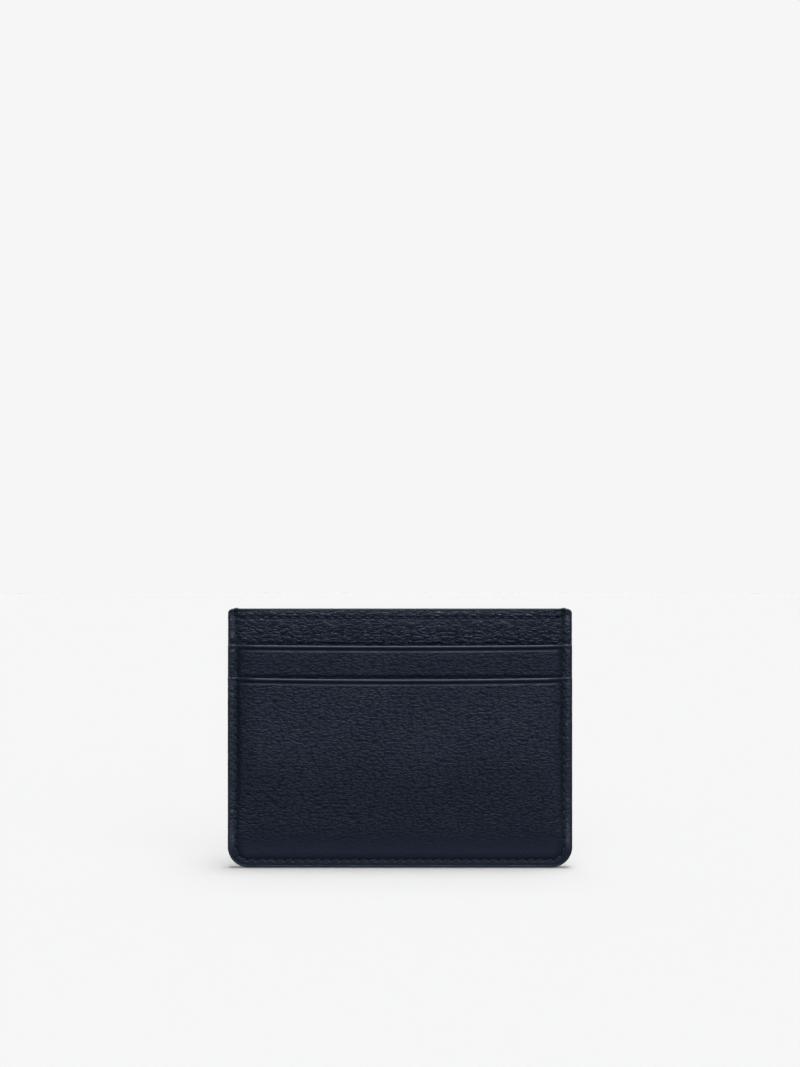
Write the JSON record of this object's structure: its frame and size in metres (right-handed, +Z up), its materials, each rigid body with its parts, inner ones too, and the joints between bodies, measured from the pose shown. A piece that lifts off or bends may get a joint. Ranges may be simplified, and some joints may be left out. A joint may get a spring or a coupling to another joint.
{
  "type": "card holder",
  "caption": "Slim grained leather card holder with stepped card slots on both faces, a middle pocket, stitched sides and bottom, and painted cut edges.",
  "frame": {"origin": "middle of the bottom edge, on the surface that the holder stands on", "axes": "+X across the width to the right as seen from the front, -Y out of the front face, +Z up towards the pocket mouths"},
  "size_m": [0.1, 0.0098, 0.0751],
  "materials": {
    "grained_leather": "navy pebble grain, soft satin",
    "lining_textile": "fine woven navy lining",
    "edge_paint": "rounded navy edge paint, semi-matt",
    "sewing_thread": "navy twisted sewing thread"
  },
  "bodies": {
    "root": {"front_body_lining": "lining_textile", "front_body_panel": "grained_leather", "front_upper_pocket_backing": "lining_textile", "front_upper_pocket_facing": "grained_leather", "front_lower_pocket_panel": "grained_leather", "front_top_edge_coat": "edge_paint", "front_upper_mouth_coat": "edge_paint", "front_lower_mouth_coat": "edge_paint", "front_top_hem_thread": "sewing_thread", "front_pocket_base_thread": "sewing_thread", "back_body_lining": "lining_textile", "back_body_panel": "grained_leather", "back_upper_pocket_backing": "lining_textile", "back_upper_pocket_facing": "grained_leather", "back_lower_pocket_panel": "grained_leather", "back_top_edge_coat": "edge_paint", "back_upper_mouth_coat": "edge_paint", "back_lower_mouth_coat": "edge_paint", "back_top_hem_thread": "sewing_thread", "back_pocket_base_thread": "sewing_thread", "seam_needle_thread": "sewing_thread", "seam_bobbin_thread": "sewing_thread", "edge_coat": "edge_paint"}
  },
  "joints": []
}
